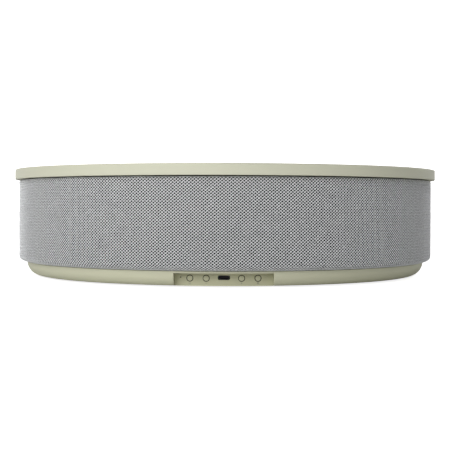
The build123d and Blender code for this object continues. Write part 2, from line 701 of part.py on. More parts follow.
def woofer_ledge(level):
    """A ledge inside the basket that carries the spider."""
    inner = SPIDER_RADIUS - 4.6
    outer = SPIDER_RADIUS + 2.0
    return turned_polygon((inner, level - 1), (inner, level), (outer, level), (outer - 1, level - 1))


def woofer_parts():
    """The upward woofer, drawn with its flange on z = 0."""
    rim = WOOFER_FLANGE
    neck = rim - WOOFER_NECK_DEPTH
    spider_level = neck - SPIDER_DROP
    motor_top = -WOOFER_DEPTH
    magnet_top = motor_top - 5.0
    magnet_bottom = magnet_top - 10.0
    back_bottom = magnet_bottom - 4.0
    plate_radius = WOOFER_MOTOR - 4.0
    frame = driver_frame(
        WOOFER_RADIUS,
        WOOFER_MOUTH,
        WOOFER_MOTOR,
        WOOFER_DEPTH,
        WOOFER_FLANGE,
        6,
        WOOFER_RADIUS - WOOFER_SCREW_INSET,
    )
    back_plate = disc(plate_radius, back_bottom, magnet_bottom)
    back_plate += disc(COIL_RADIUS - 1.4, magnet_bottom, motor_top)
    back_plate -= disc(5.0, back_bottom - PAST, motor_top + PAST)
    return {
        "woofer_frame": frame + woofer_ledge(spider_level),
        "woofer_top_plate": ring(plate_radius, COIL_RADIUS + 1.2, magnet_top, motor_top),
        "woofer_magnet": ring(WOOFER_MOTOR - 1.0, COIL_RADIUS + 5.0, magnet_bottom, magnet_top),
        "woofer_back_plate": back_plate,
        "woofer_voice_coil": ring(COIL_RADIUS + COIL_WALL, COIL_RADIUS - COIL_WALL, magnet_top - 1.5, neck),
        "woofer_spider": woofer_spider(spider_level),
        "woofer_cone": driver_cone(WOOFER_CONE, COIL_RADIUS - COIL_WALL, WOOFER_NECK_DEPTH, 0.9, rim),
        "woofer_dust_cap": dome(25.0, 6.0, 0.8, neck + 6.6),
        "woofer_surround": driver_surround(WOOFER_MOUTH, WOOFER_CONE + GLUE_GAP, 5.0, 0.9, rim),
    }


def side_driver_parts():
    """A small side driver, drawn with its flange on z = 0 and facing up."""
    frame = driver_frame(
        SIDE_DRIVER_RADIUS,
        SIDE_MOUTH,
        SIDE_MOTOR,
        SIDE_DEPTH,
        SIDE_FLANGE,
        4,
        SIDE_DRIVER_RADIUS - 2.2,
    )
    rim = SIDE_FLANGE
    neck = rim - SIDE_NECK_DEPTH
    coil_outer = SIDE_COIL + SIDE_COIL_WALL
    coil_inner = SIDE_COIL - SIDE_COIL_WALL
    cup = disc(SIDE_MOTOR, -SIDE_DEPTH - SIDE_MOTOR_HEIGHT, -SIDE_DEPTH)
    cup -= ring(SIDE_COIL + 1.1, SIDE_COIL - 1.1, -SIDE_DEPTH - 9.0, -SIDE_DEPTH + PAST)
    cone = driver_cone(SIDE_CONE, coil_inner, SIDE_NECK_DEPTH, 0.6, rim)
    cone += ring(coil_outer, coil_inner, -SIDE_DEPTH - 4.0, neck + 0.5)
    cone += dome(9.0, 2.4, 0.6, neck + 2.6)
    surround = driver_surround(SIDE_MOUTH, SIDE_CONE + GLUE_GAP, 1.8, 0.5, rim)
    return {"frame": frame, "magnet": cup, "cone": cone, "surround": surround}


# ---- Speaker enclosure ---------------------------------------------------------------------------
def enclosure_outline(inset, z_low, z_high):
    """A drum with four flats, one for each side driver, drawn inside the enclosure's outline."""
    radius = ENCLOSURE_RADIUS - inset
    flat = ENCLOSURE_FLAT - inset
    shape = disc(radius, z_low, z_high)
    for angle in SIDE_DRIVER_ANGLES.values():
        cut = block(flat, radius + PAST, -radius, radius, z_low - PAST, z_high + PAST)
        shape -= Rot(0, 0, angle) * cut
    return shape


def make_speaker_enclosure():
    """The sealed tub that the drivers breathe into."""
    tub = enclosure_outline(0, ENCLOSURE_BOTTOM, ENCLOSURE_TOP)
    tub -= enclosure_outline(ENCLOSURE_WALL, ENCLOSURE_BOTTOM + ENCLOSURE_WALL, ENCLOSURE_TOP + PAST)
    lug_top = ENCLOSURE_BOTTOM + ENCLOSURE_WALL
    lug = block(ENCLOSURE_RADIUS - 2, LUG_RADIUS, -5, 5, ENCLOSURE_BOTTOM, lug_top)
    lug += disc(5.0, ENCLOSURE_BOTTOM, lug_top, LUG_RADIUS, 0)
    lug -= disc(1.4, ENCLOSURE_BOTTOM - PAST, lug_top + PAST, LUG_RADIUS, 0)
    for angle in LUG_ANGLES:
        tub += Rot(0, 0, angle) * lug
    for angle in COVER_SCREW_ANGLES:
        x, y = polar(COVER_SCREW_RADIUS, angle)
        tub += disc(4.5, ENCLOSURE_TOP - 14, ENCLOSURE_TOP, x, y)
        tub -= disc(CASE_PILOT, ENCLOSURE_TOP - 12, ENCLOSURE_TOP + PAST, x, y)
    hole = Rot(0, 90, 0) * Cylinder(SIDE_MOUTH - 0.6, 20)
    for angle in SIDE_DRIVER_ANGLES.values():
        tub -= Rot(0, 0, angle) * Pos(ENCLOSURE_FLAT, 0, Z_SIDE_DRIVER) * hole
    return tub


def make_enclosure_gasket():
    """The foam seal between the tub and its cover."""
    gasket = enclosure_outline(0.3, ENCLOSURE_TOP, Z_COVER)
    gasket -= enclosure_outline(ENCLOSURE_WALL, ENCLOSURE_TOP - PAST, Z_COVER + PAST)
    for angle in COVER_SCREW_ANGLES:
        gasket -= disc(CASE_HOLE, ENCLOSURE_TOP - PAST, Z_COVER + PAST, *polar(COVER_SCREW_RADIUS, angle))
    return gasket


def make_enclosure_cover():
    """The cover, dished in the middle so that the woofer sits low under the lid."""
    mouth = WOOFER_MOUTH + 0.2
    seat_bottom = WOOFER_SEAT - COVER_THICKNESS
    dished = turned_polygon(
        (ENCLOSURE_RADIUS, Z_COVER),
        (ENCLOSURE_RADIUS, Z_COVER_TOP),
        (DISH_RIM, Z_COVER_TOP),
        (DISH_RADIUS, WOOFER_SEAT),
        (mouth, WOOFER_SEAT),
        (mouth, seat_bottom),
        (DISH_RADIUS + COVER_THICKNESS, seat_bottom),
        (DISH_RIM + COVER_THICKNESS, Z_COVER),
    )
    cover = dished & enclosure_outline(0, 0, TOTAL_HEIGHT)
    for angle in COVER_SCREW_ANGLES:
        cover -= disc(CASE_HOLE, Z_COVER - PAST, Z_COVER_TOP + PAST, *polar(COVER_SCREW_RADIUS, angle))
    for angle in WOOFER_SCREW_ANGLES:
        x, y = polar(WOOFER_RADIUS - WOOFER_SCREW_INSET, angle)
        cover -= disc(CASE_PILOT, seat_bottom - PAST, WOOFER_SEAT + PAST, x, y)
    return cover


def make_enclosure_screws():
    """One kind of screw for the cover's rim, for the lugs on the base and for the woofer."""
    one = screw(CASE_SHANK, 9.0, 2.4, 1.6)
    woofer_circle = WOOFER_RADIUS - WOOFER_SCREW_INSET
    woofer_top = WOOFER_SEAT + WOOFER_FLANGE
    rim = [Pos(*polar(COVER_SCREW_RADIUS, a), Z_COVER_TOP) * one for a in COVER_SCREW_ANGLES]
    lugs = [Pos(*polar(LUG_RADIUS, a), ENCLOSURE_BOTTOM + ENCLOSURE_WALL) * one for a in LUG_ANGLES]
    woofer = [Pos(*polar(woofer_circle, a), woofer_top) * one for a in WOOFER_SCREW_ANGLES]
    return group(rim + lugs + woofer)


# ---- Electronics ---------------------------------------------------------------------------------
def board_corners():
    """The main board's four screw places."""
    inset = 6.0
    across = BOARD_X - inset
    return [(x, y) for x in (-across, across) for y in (BOARD_Y_LOW + inset, BOARD_Y_HIGH - inset)]


def make_main_board():
    board = block(-BOARD_X, BOARD_X, BOARD_Y_LOW, BOARD_Y_HIGH, BOARD_LEVEL, Z_BOARD_TOP)
    board = fillet(board.edges().filter_by(Axis.Z), 3.0)
    for x, y in board_corners():
        board -= disc(1.3, BOARD_LEVEL - PAST, Z_BOARD_TOP + PAST, x, y)
    return board


def make_board_screws():
    one = screw(0.95, 4.5, 2.4, 1.4)
    return group([Pos(x, y, Z_BOARD_TOP) * one for x, y in board_corners()])


def make_shield_can():
    """The radio's folded metal can, open towards the board."""
    height = 3.2
    sheet = 0.4
    can = block(-62, -22, 60, 95, Z_BOARD_TOP, Z_BOARD_TOP + height)
    can = fillet(can.edges().group_by(Axis.Z)[-1], 0.6)
    roof = Z_BOARD_TOP + height - sheet
    return can - block(-62 + sheet, -22 - sheet, 60 + sheet, 95 - sheet, Z_BOARD_TOP - PAST, roof)


def make_amplifier_heat_sink():
    """A finned block on the amplifier."""
    left, right, near, far = (-5.0, 45.0, 55.0, 100.0)
    foot = 1.8
    fins = 9
    fin = 1.6
    step = (far - near - fin) / (fins - 1)
    sink = block(left, right, near, far, Z_BOARD_TOP, Z_BOARD_TOP + foot)
    for i in range(fins):
        y = near + step * i
        sink += block(left, right, y, y + fin, Z_BOARD_TOP + foot - 0.1, Z_BOARD_TOP + 5.6)
    return sink


def make_capacitors():
    """A row of round cans beside the heat sink."""
    cans = [disc(4.0, Z_BOARD_TOP, Z_BOARD_TOP + 6.0, 56.0, 50.0 + 11.0 * i) for i in range(4)]
    return group([fillet(can.edges().group_by(Axis.Z)[-1], 0.5) for can in cans])


def make_wireless_antenna():
    """A printed antenna strip standing at the edge of the tray, clear of the metal parts."""
    return block(-30, 30, 150.0, 151.0, Z_FLOOR, Z_FLOOR + 9.0)


def make_battery_pack():
    top = Z_FLOOR + BATTERY_HEIGHT
    pack = block(-BATTERY_X, BATTERY_X, BATTERY_Y_LOW, BATTERY_Y_HIGH, Z_FLOOR, top)
    return fillet(pack.edges().filter_by(Axis.Z), 4.0)


def make_battery_bracket():
    """A bent strap over the battery with a foot at each end."""
    near, far = (-70.0, -50.0)
    under = Z_FLOOR + BATTERY_HEIGHT
    leg = BATTERY_X + 0.2
    strap = block(-STRAP_REACH, STRAP_REACH, near, far, Z_FLOOR, under + STRAP_THICKNESS)
    strap -= block(-leg, leg, near - PAST, far + PAST, Z_FLOOR - PAST, under)
    for side in (-1, 1):
        low, high = sorted((side * (leg + STRAP_THICKNESS), side * (STRAP_REACH + PAST)))
        strap -= block(low, high, near - PAST, far + PAST, Z_FLOOR + STRAP_THICKNESS, under + 2 * PAST)
    return strap


def lead(radius, points, bends):
    """A round lead along straight runs joined by tangent arcs."""
    path = FilletPolyline(*points, radius=bends)
    start = Plane(origin=path @ 0, z_dir=path % 0)
    return sweep(start * Circle(radius), path=path)


def make_battery_lead():
    """From the battery's end to the main board."""
    low = Z_FLOOR + 4.0
    high = low + 0.6
    points = [(20, BATTERY_Y_HIGH, low), (20, 0, low), (28, 16, high), (28, BOARD_Y_LOW, high)]
    return lead(1.3, points, [7.0, 7.0])


def make_control_lead():
    """From the control board, beside the battery, to the main board."""
    route = [
        (38, CONTROL_BOARD_Y),
        (38, -150),
        (96, -118),
        (96, 10),
        (60, 20),
        (60, BOARD_Y_LOW),
    ]
    points = [(x, y, Z_FLOOR + 4.0) for x, y in route]
    return lead(1.2, points, [9.0, 20.0, 15.0, 4.0])


# ---- Everything, written out ---------------------------------------------------------------------
def all_parts():
    parts = {
        "top_lid": make_top_lid(),
        "lid_mounting_plate": make_lid_mounting_plate(),
        "lid_screws": make_lid_screws(),
        "sound_deflector": make_sound_deflector(),
        "microphone_board": make_microphone_board(),
        "microphones": make_microphones(),
        "microphone_gaskets": make_microphone_gaskets(),
        "grille_cloth": make_grille_cloth(),
        "grille_frame": make_grille_frame(),
        "cloth_clamp_ring": make_cloth_clamp_ring(),
        "base_housing": make_base_housing(),
        "base_screws": make_base_screws(),
        "foot_ring": make_foot_ring(),
        "control_panel": make_control_panel(),
        "panel_screws": make_panel_screws(),
        "status_light_pipe": make_status_light_pipe(),
        "control_board": make_control_board(),
        "tact_switches": make_tact_switches(),
        "usb_socket_shell": make_usb_socket_shell(),
        "usb_socket_tongue": make_usb_socket_tongue(),
        "speaker_enclosure": make_speaker_enclosure(),
        "enclosure_gasket": make_enclosure_gasket(),
        "enclosure_cover": make_enclosure_cover(),
        "enclosure_screws": make_enclosure_screws(),
        "main_board": make_main_board(),
        "board_screws": make_board_screws(),
        "shield_can": make_shield_can(),
        "amplifier_heat_sink": make_amplifier_heat_sink(),
        "capacitors": make_capacitors(),
        "wireless_antenna": make_wireless_antenna(),
        "battery_pack": make_battery_pack(),
        "battery_bracket": make_battery_bracket(),
        "battery_lead": make_battery_lead(),
        "control_lead": make_control_lead(),
    }
    for name, x in BUTTON_OFFSETS.items():
        parts[name] = make_button(x)
    for name, shape in woofer_parts().items():
        parts[name] = Pos(0, 0, WOOFER_SEAT) * shape
    small = side_driver_parts()
    surround = small.pop("surround")
    seats = {
        place: Rot(0, 0, angle) * Pos(ENCLOSURE_FLAT, 0, Z_SIDE_DRIVER) * Rot(0, 90, 0)
        for place, angle in SIDE_DRIVER_ANGLES.items()
    }
    for place, seat in seats.items():
        for name, shape in small.items():
            parts[f"{place}_driver_{name}"] = seat * shape
    parts["side_driver_surrounds"] = group([seat * surround for seat in seats.values()])
    return parts


os.makedirs("parts", exist_ok=True)
for node, shape in all_parts().items():
    export_step(shape, f"parts/{node}.step")
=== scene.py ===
"""Looks of a large round smart speaker: sage lid and base, woven grille cloth, controls and inside."""

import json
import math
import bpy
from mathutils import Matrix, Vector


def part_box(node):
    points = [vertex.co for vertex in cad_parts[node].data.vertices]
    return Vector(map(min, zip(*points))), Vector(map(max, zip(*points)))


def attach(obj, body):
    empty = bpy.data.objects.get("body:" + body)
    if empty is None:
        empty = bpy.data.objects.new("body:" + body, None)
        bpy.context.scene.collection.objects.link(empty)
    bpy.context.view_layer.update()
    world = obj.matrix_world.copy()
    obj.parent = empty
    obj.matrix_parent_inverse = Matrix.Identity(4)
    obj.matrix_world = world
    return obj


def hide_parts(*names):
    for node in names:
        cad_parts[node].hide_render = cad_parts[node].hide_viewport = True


bl_info = {
    "name": "Round Smart Speaker",
    "version": (1, 0, 0),
    "blender": (4, 5, 0),
    "location": "View3D > Sidebar > Speaker",
    "description": "Weaves the grille cloth and finishes every piece of a round smart speaker",
    "category": "Object",
}

import bmesh
import bpy
from mathutils import Euler, Matrix, Vector

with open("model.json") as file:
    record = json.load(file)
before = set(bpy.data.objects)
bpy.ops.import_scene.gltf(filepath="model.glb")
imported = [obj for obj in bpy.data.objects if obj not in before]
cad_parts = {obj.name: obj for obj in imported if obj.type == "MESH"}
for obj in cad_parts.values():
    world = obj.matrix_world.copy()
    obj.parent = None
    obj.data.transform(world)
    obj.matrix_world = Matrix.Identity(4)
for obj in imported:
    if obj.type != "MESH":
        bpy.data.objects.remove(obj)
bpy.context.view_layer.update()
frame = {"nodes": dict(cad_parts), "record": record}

MM = 0.001
LID_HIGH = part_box("top_lid")[1]
CLOTH_LOW, CLOTH_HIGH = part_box("grille_cloth")
PANEL_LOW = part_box("control_panel")[0]
PANEL_RADIUS = -PANEL_LOW.y
BUTTONS = ("power_button", "volume_down_button", "volume_up_button", "pairing_button")
HALF_TURN = math.pi


# ---- Settings a user would change ----------------------------------------------------------------
class SpeakerClothSettings(bpy.types.PropertyGroup):
    strands: bpy.props.IntProperty(
        name="Strands",
        description="Strands that lean one way, counted round the drum",
        default=424,
        min=24,
    )
    row_height: bpy.props.FloatProperty(
        name="Row height",
        description="Height between two rows of crossings",
        default=1.28 * MM,
        unit="LENGTH",
    )
    width: bpy.props.FloatProperty(
        name="Strand width",
        description="Width of one flat strand",
        default=0.58 * MM,
        unit="LENGTH",
    )
    thickness: bpy.props.FloatProperty(
        name="Strand thickness",
        description="Thickness of one flat strand",
        default=0.34 * MM,
        unit="LENGTH",
    )
    sides: bpy.props.IntProperty(
        name="Strand sides",
        description="Faces round one strand",
        default=6,
        min=3,
    )
    # light is the yarn lit on its crowns, dark its painted shade where it dips; they also tint fibres and
    # flecks.
    light: bpy.props.FloatVectorProperty(
        name="Light yarn",
        description="Colour of the paler yarn",
        subtype="COLOR",
        default=(0.95, 0.96, 0.975),
    )
    dark: bpy.props.FloatVectorProperty(
        name="Dark yarn",
        description="Colour of the darker yarn",
        subtype="COLOR",
        default=(0.65, 0.66, 0.68),
    )


class SpeakerShellSettings(bpy.types.PropertyGroup):
    sage: bpy.props.FloatVectorProperty(
        name="Sage",
        description="Colour of the moulded shell",
        subtype="COLOR",
        default=(0.61, 0.61, 0.482),
    )
    roughness: bpy.props.FloatProperty(
        name="Roughness",
        description="Roughness of the moulded shell",
        default=0.52,
        min=0.0,
        max=1.0,
    )
    grain: bpy.props.FloatProperty(
        name="Grain",
        description="Size of the mould's fine grain",
        default=0.35 * MM,
        unit="LENGTH",
    )


class SpeakerStageSettings(bpy.types.PropertyGroup):
    distance: bpy.props.FloatProperty(
        name="Distance",
        description="From the speaker's axis to the camera",
        default=1.030,
        unit="LENGTH",
    )
    height: bpy.props.FloatProperty(
        name="Height",
        description="Height of the camera above the floor",
        default=0.0668,
        unit="LENGTH",
    )
    bearing: bpy.props.FloatProperty(
        name="Bearing",
        description="Turn of the camera about the speaker, from straight behind towards the right",
        default=math.radians(0.25),
        subtype="ANGLE",
    )
    pitch: bpy.props.FloatProperty(
        name="Pitch",
        description="How far the camera looks down",
        default=math.radians(1.012),
        subtype="ANGLE",
    )
    roll: bpy.props.FloatProperty(
        name="Roll",
        description="Turn of the camera about its line of sight, anticlockwise as seen from behind it",
        default=math.radians(0.15),
        subtype="ANGLE",
    )
    lens: bpy.props.FloatProperty(
        name="Lens",
        description="Focal length in millimetres on a 36 mm sensor",
        default=82.6,
    )
    ambient: bpy.props.FloatProperty(
        name="Ambient",
        description="Brightness of the room round and above the camera, dimmer than beyond the speaker",
        default=0.275,
    )
    key: bpy.props.FloatProperty(
        name="Key",
        description="Power of the large soft light on the left",
        default=14.5,
        unit="POWER",
    )
    fill: bpy.props.FloatProperty(
        name="Fill",
        description="Power of the low light on the left that reaches under the base",
        default=1.0,
        unit="POWER",
    )


# ---- Node helpers --------------------------------------------------------------------------------
NOISE_LOW = 0.3
NOISE_HIGH = 0.7
GRAIN_STRENGTH = 0.6


def link(tree, source, target):
    tree.links.new(source, target)


def put(tree, socket, value):
    """Sets a socket from a number, a vector or another socket."""
    if isinstance(value, bpy.types.NodeSocket):
        tree.links.new(value, socket)
    else:
        socket.default_value = value


def calc(tree, operation, *values):
    """One Math node."""
    node = tree.nodes.new("ShaderNodeMath")
    node.operation = operation
    for socket, value in zip(node.inputs, values):
        put(tree, socket, value)
    return node.outputs[0]


def vector_calc(tree, operation, *values):
    """One Vector Math node."""
    node = tree.nodes.new("ShaderNodeVectorMath")
    node.operation = operation
    for socket, value in zip(node.inputs, values):
        put(tree, socket, value)
    return node.outputs[0]


def noise(tree, place, scale, detail=2.0):
    node = tree.nodes.new("ShaderNodeTexNoise")
    put(tree, node.inputs["Vector"], place)
    node.inputs["Scale"].default_value = scale
    node.inputs["Detail"].default_value = detail
    return node.outputs["Fac"]


def spread(tree, value, low, high, new_low, new_high):
    """Maps one range of numbers to another, held at both ends."""
    node = tree.nodes.new("ShaderNodeMapRange")
    put(tree, node.inputs["Value"], value)
    node.inputs["From Min"].default_value = low
    node.inputs["From Max"].default_value = high
    node.inputs["To Min"].default_value = new_low
    node.inputs["To Max"].default_value = new_high
    return node.outputs["Result"]


def blend_colours(tree, factor, first, second):
    node = tree.nodes.new("ShaderNodeMix")
    node.data_type = "RGBA"
    put(tree, node.inputs["Factor"], factor)
    put(tree, node.inputs[6], first)
    put(tree, node.inputs[7], second)
    return node.outputs[2]


def bump(tree, height, strength, distance):
    node = tree.nodes.new("ShaderNodeBump")
    put(tree, node.inputs["Height"], height)
    node.inputs["Strength"].default_value = strength
    node.inputs["Distance"].default_value = distance
    return node.outputs["Normal"]


def shade(colour, factor):
    return tuple(min(1.0, part * factor) for part in colour[:3]) + (1.0,)


def new_material(name):
    """A material with one Principled shader, and the object's own coordinates."""
    material = bpy.data.materials.new(name)
    material.use_nodes = True
    tree = material.node_tree
    shader = tree.nodes["Principled BSDF"]
    place = tree.nodes.new("ShaderNodeTexCoord").outputs["Object"]
    return material, tree, shader, place


def mottled(name, colour, contrast, patch, roughness, swing, grain, relief, metallic=0.0):
    """A finish with soft patches of colour and gloss, over a fine raised grain.

    contrast and swing say how far a patch's colour and roughness stray from the middle ones. patch and
    grain are the sizes of the patches and of the grain in metres, relief is the grain's height."""
    material, tree, shader, place = new_material(name)
    cloud = noise(tree, place, 1 / patch, 3.0)
    speck = noise(tree, place, 1 / grain, 2.0)
    mixed = blend_colours(tree, cloud, shade(colour, 1 - contrast), shade(colour, 1 + contrast))
    link(tree, mixed, shader.inputs["Base Color"])
    gloss = spread(tree, cloud, NOISE_LOW, NOISE_HIGH, roughness - swing, roughness + swing)
    link(tree, gloss, shader.inputs["Roughness"])
    link(tree, bump(tree, speck, GRAIN_STRENGTH, relief), shader.inputs["Normal"])
    shader.inputs["Metallic"].default_value = metallic
    return material


def finish(node, material):
    """Gives a CAD node a material."""
    for slot in frame["nodes"][node].material_slots:
        slot.material = material


# ---- Geometry Nodes: strands of woven cloth ------------------------------------------------------
WEAVE_INPUTS = (
    ("Profile", "NodeSocketObject"),
    ("Rows", "NodeSocketInt"),
    ("Points in a row", "NodeSocketInt"),
    ("First strand", "NodeSocketInt"),
    ("Strands made", "NodeSocketInt"),
    ("Strands round", "NodeSocketInt"),
    ("Lean", "NodeSocketFloat"),
    ("Phase", "NodeSocketFloat"),
    ("Lift", "NodeSocketFloat"),
    ("Width", "NodeSocketFloat"),
    ("Thickness", "NodeSocketFloat"),
    ("Sides", "NodeSocketInt"),
    ("Material", "NodeSocketMaterial"),
)


def weave_tree():
    """Strands that all lean one way, over and under the other family, along a profile turned about Z."""
    tree = bpy.data.node_groups.new("leaning_strands", "GeometryNodeTree")
    tree.interface.new_socket("Geometry", in_out="OUTPUT", socket_type="NodeSocketGeometry")
    for name, kind in WEAVE_INPUTS:
        tree.interface.new_socket(name, in_out="INPUT", socket_type=kind)
    given = tree.nodes.new("NodeGroupInput").outputs
    result = tree.nodes.new("NodeGroupOutput").inputs["Geometry"]

    profile = tree.nodes.new("GeometryNodeObjectInfo")
    link(tree, given["Profile"], profile.inputs["Object"])
    line = tree.nodes.new("GeometryNodeCurvePrimitiveLine")
    points = tree.nodes.new("GeometryNodeResampleCurve")
    steps = calc(tree, "MULTIPLY", given["Rows"], given["Points in a row"])
    link(tree, line.outputs["Curve"], points.inputs["Curve"])
    link(tree, calc(tree, "ADD", steps, 1.0), points.inputs["Count"])

    index = tree.nodes.new("GeometryNodeInputIndex").outputs["Index"]
    sample = tree.nodes.new("GeometryNodeSampleCurve")
    sample.use_all_curves = True
    link(tree, profile.outputs["Geometry"], sample.inputs["Curves"])
    link(tree, calc(tree, "DIVIDE", index, steps), sample.inputs["Factor"])
    outward = vector_calc(tree, "CROSS_PRODUCT", sample.outputs["Tangent"], (0.0, 1.0, 0.0))
    outward = vector_calc(tree, "NORMALIZE", outward)
    row = calc(tree, "DIVIDE", index, given["Points in a row"])
    phase = calc(tree, "ADD", row, given["Phase"])
    wave = calc(tree, "COSINE", calc(tree, "MULTIPLY", phase, HALF_TURN))
    lifted = calc(tree, "MULTIPLY", wave, given["Lift"])
    raised = vector_calc(tree, "MULTIPLY", outward, combine(tree, lifted))
    place = vector_calc(tree, "ADD", sample.outputs["Position"], raised)
    pitch = calc(tree, "DIVIDE", HALF_TURN, given["Strands round"])
    turn = calc(tree, "MULTIPLY", calc(tree, "MULTIPLY", row, pitch), given["Lean"])

    moved = tree.nodes.new("GeometryNodeSetPosition")
    link(tree, points.outputs["Curve"], moved.inputs["Geometry"])
    link(tree, turned_about_z(tree, place, turn), moved.inputs["Position"])
    normal = tree.nodes.new("GeometryNodeSetCurveNormal")
    normal.mode = "FREE"
    link(tree, moved.outputs["Geometry"], normal.inputs["Curve"])
    link(tree, turned_about_z(tree, outward, turn), normal.inputs["Normal"])
    stored = tree.nodes.new("GeometryNodeStoreNamedAttribute")
    stored.data_type = "FLOAT"
    stored.inputs["Name"].default_value = "lift"
    link(tree, normal.outputs["Curve"], stored.inputs["Geometry"])
    put(tree, stored.inputs["Value"], wave)

    section = tree.nodes.new("GeometryNodeCurvePrimitiveCircle")
    link(tree, given["Sides"], section.inputs["Resolution"])
    section.inputs["Radius"].default_value = 1.0
    flat = tree.nodes.new("GeometryNodeTransform")
    link(tree, section.outputs["Curve"], flat.inputs["Geometry"])
    size = tree.nodes.new("ShaderNodeCombineXYZ")
    link(tree, calc(tree, "MULTIPLY", given["Thickness"], 0.5), size.inputs["X"])
    link(tree, calc(tree, "MULTIPLY", given["Width"], 0.5), size.inputs["Y"])
    size.inputs["Z"].default_value = 1.0
    link(tree, size.outputs["Vector"], flat.inputs["Scale"])
    strand = tree.nodes.new("GeometryNodeCurveToMesh")
    strand.inputs["Fill Caps"].default_value = True
    link(tree, stored.outputs["Geometry"], strand.inputs["Curve"])
    link(tree, flat.outputs["Geometry"], strand.inputs["Profile Curve"])

    starts = tree.nodes.new("GeometryNodeMeshLine")
    starts.inputs["Offset"].default_value = (0.0, 0.0, 0.0)
    link(tree, given["Strands made"], starts.inputs["Count"])
    copy = tree.nodes.new("GeometryNodeInputIndex").outputs["Index"]
    number = calc(tree, "ADD", copy, given["First strand"])
    angle = calc(tree, "MULTIPLY", calc(tree, "MULTIPLY", number, pitch), 2.0)
    spin = tree.nodes.new("ShaderNodeCombineXYZ")
    link(tree, angle, spin.inputs["Z"])
    copies = tree.nodes.new("GeometryNodeInstanceOnPoints")
    link(tree, starts.outputs["Mesh"], copies.inputs["Points"])
    link(tree, strand.outputs["Mesh"], copies.inputs["Instance"])
    link(tree, spin.outputs["Vector"], copies.inputs["Rotation"])
    real = tree.nodes.new("GeometryNodeRealizeInstances")
    link(tree, copies.outputs["Instances"], real.inputs["Geometry"])
    smooth = tree.nodes.new("GeometryNodeSetShadeSmooth")
    link(tree, real.outputs["Geometry"], smooth.inputs["Geometry"])
    painted = tree.nodes.new("GeometryNodeSetMaterial")
    link(tree, smooth.outputs["Geometry"], painted.inputs["Geometry"])
    link(tree, given["Material"], painted.inputs["Material"])
    link(tree, painted.outputs["Geometry"], result)
    return tree


def combine(tree, value):
    """The same number on all three axes."""
    node = tree.nodes.new("ShaderNodeCombineXYZ")
    for socket in node.inputs:
        link(tree, value, socket)
    return node.outputs["Vector"]


def turned_about_z(tree, vector, angle):
    node = tree.nodes.new("ShaderNodeVectorRotate")
    node.rotation_type = "Z_AXIS"
    link(tree, vector, node.inputs["Vector"])
    link(tree, angle, node.inputs["Angle"])
    return node.outputs["Vector"]


def grown(name, tree, values):
    """Runs a Geometry Nodes tree once and keeps its result as a plain mesh object."""
    scene = bpy.context.scene
    holder = bpy.data.objects.new(name + "_grower", bpy.data.meshes.new(name + "_seed"))
    scene.collection.objects.link(holder)
    modifier = holder.modifiers.new("grow", "NODES")
    modifier.node_group = tree
    sockets = {item.name: item.identifier for item in tree.interface.items_tree if item.in_out == "INPUT"}
    for key, value in values.items():
        modifier[sockets[key]] = value
    bpy.context.view_layer.update()
    evaluated = holder.evaluated_get(bpy.context.evaluated_depsgraph_get())
    mesh = bpy.data.meshes.new_from_object(evaluated)
    mesh.name = name
    bpy.data.objects.remove(holder)
    piece = bpy.data.objects.new(name, mesh)
    scene.collection.objects.link(piece)
    return piece


# ---- The cloth's profile, taken from the CAD cloth's box -----------------------------------------
CLOTH_CORNER_DEPTH = 9.0 * MM
CLOTH_CORNER_HEIGHT = 5.2 * MM
CLOTH_TUCK = 2.5 * MM
CLOTH_CAP = 5.0 * MM
CLOTH_TOP_ROUND = 0.9 * MM
TOP_ROUND_STEPS = 4
CORNER_STEPS = 16
SCRIM_FACE = 1.1 * MM
SCRIM_BACK = 1.19 * MM
SCRIM_SEGMENTS = 256


def cloth_profile(inset):
    """Points (radius, height) of the cloth's section, from its top hem down to its tucked hem.

    inset is how far the points lie behind the cloth's face."""
    radius = CLOTH_HIGH.x - inset
    top = CLOTH_HIGH.z - inset
    bottom = CLOTH_LOW.z + inset
    corner_radius = CLOTH_HIGH.x - CLOTH_CORNER_DEPTH
    corner_level = CLOTH_LOW.z + CLOTH_CORNER_HEIGHT
    turn = CLOTH_TOP_ROUND
    points = [(CLOTH_HIGH.x - CLOTH_CAP, top), (radius - turn, top)]
    for i in range(1, TOP_ROUND_STEPS + 1):
        angle = HALF_TURN / 2 * i / TOP_ROUND_STEPS
        points.append((radius - turn + turn * math.sin(angle), top - turn + turn * math.cos(angle)))
    for i in range(CORNER_STEPS + 1):
        angle = HALF_TURN / 2 * i / CORNER_STEPS
        reach = (CLOTH_CORNER_DEPTH - inset) * math.cos(angle)
        drop = (CLOTH_CORNER_HEIGHT - inset) * math.sin(angle)
        points.append((corner_radius + reach, corner_level - drop))
    points.append((corner_radius - CLOTH_TUCK, bottom))
    return points


def profile_curve(name, points):
    """A plain poly curve through the points of a section, in the XZ plane."""
    data = bpy.data.curves.new(name, "CURVE")
    data.dimensions = "3D"
    spline = data.splines.new("POLY")
    spline.points.add(len(points) - 1)
    for point, (radius, level) in zip(spline.points, points):
        point.co = (radius, 0.0, level, 1.0)
    curve = bpy.data.objects.new(name, data)
    bpy.context.scene.collection.objects.link(curve)
    return curve


def length_of(points):
    return sum(math.dist(a, b) for a, b in zip(points, points[1:]))


def turned_sheet(name, outer, inner, segments, material):
    """A closed sheet of revolution between an outer and an inner section of the same number of points."""
    outline = outer + inner[::-1]
    mesh = bmesh.new()
    rings = []
    for i in range(segments):
        angle = 2 * HALF_TURN * i / segments
        rings.append([mesh.verts.new((r * math.cos(angle), r * math.sin(angle), z)) for r, z in outline])
    count = len(outline)
    for i in range(segments):
        here, after = rings[i], rings[(i + 1) % segments]
        for k in range(count):
            face = mesh.faces.new((here[k], here[(k + 1) % count], after[(k + 1) % count], after[k]))
            face.smooth = True
    bmesh.ops.recalc_face_normals(mesh, faces=mesh.faces)
    data = bpy.data.meshes.new(name)
    mesh.to_mesh(data)
    mesh.free()
    data.materials.append(material)
    piece = bpy.data.objects.new(name, data)
    bpy.context.scene.collection.objects.link(piece)
    return piece


